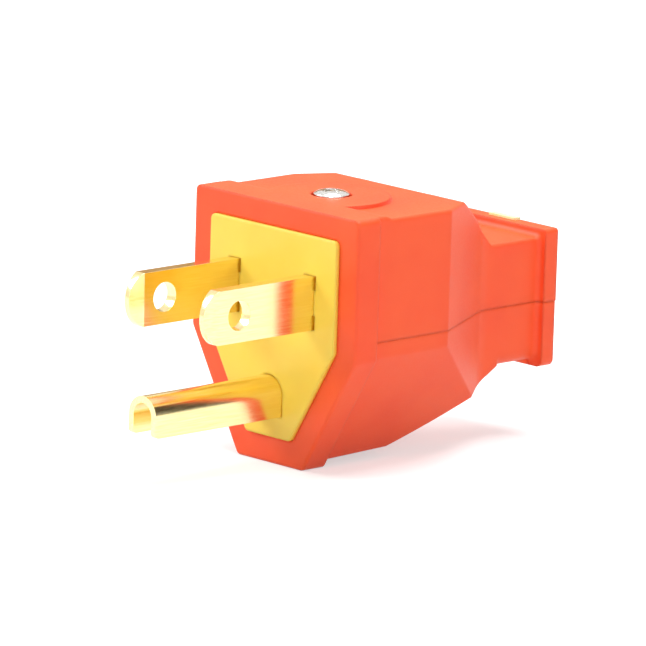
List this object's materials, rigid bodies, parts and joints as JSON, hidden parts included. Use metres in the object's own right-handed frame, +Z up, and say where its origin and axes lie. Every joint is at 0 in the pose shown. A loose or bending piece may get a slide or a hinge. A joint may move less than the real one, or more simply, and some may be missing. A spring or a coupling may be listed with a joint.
{
  "type": "type b plug",
  "caption": "Rewireable plug with flat blades and a U-shaped ground pin in a yellow face, in an orange housing with a cord neck.",
  "frame": {"origin": "in the front plane of the rim, half way between the two blades on their centre line", "axes": "-Y out of the mating face along the blades, +Y towards the cord entry, +Z up towards the housing screw, away from the ground pin"},
  "size_m": [0.0276, 0.0581, 0.0315],
  "materials": {
    "housing": "orange moulded plastic, satin",
    "insert": "yellow moulded plastic, satin",
    "gland": "pale yellow rubber",
    "contact_brass": "stamped and polished",
    "plated_steel": "bright nickel plate"
  },
  "bodies": {
    "root": {"upper_housing": "housing", "lower_housing": "housing", "face_insert": "insert", "cord_gland": "gland", "cord_clamp_jaw": "insert", "hot_blade": "contact_brass", "neutral_blade": "contact_brass", "ground_pin": "contact_brass", "housing_bush": "contact_brass", "hot_wire_clamp": "contact_brass", "neutral_wire_clamp": "contact_brass", "ground_wire_clamp": "contact_brass", "housing_screw": "plated_steel", "hot_terminal_screw": "plated_steel", "neutral_terminal_screw": "plated_steel", "ground_terminal_screw": "plated_steel", "hot_lock_washer": "plated_steel", "neutral_lock_washer": "plated_steel", "ground_lock_washer": "plated_steel", "cord_clamp_screw_left": "plated_steel", "cord_clamp_screw_right": "plated_steel"}
  },
  "joints": []
}
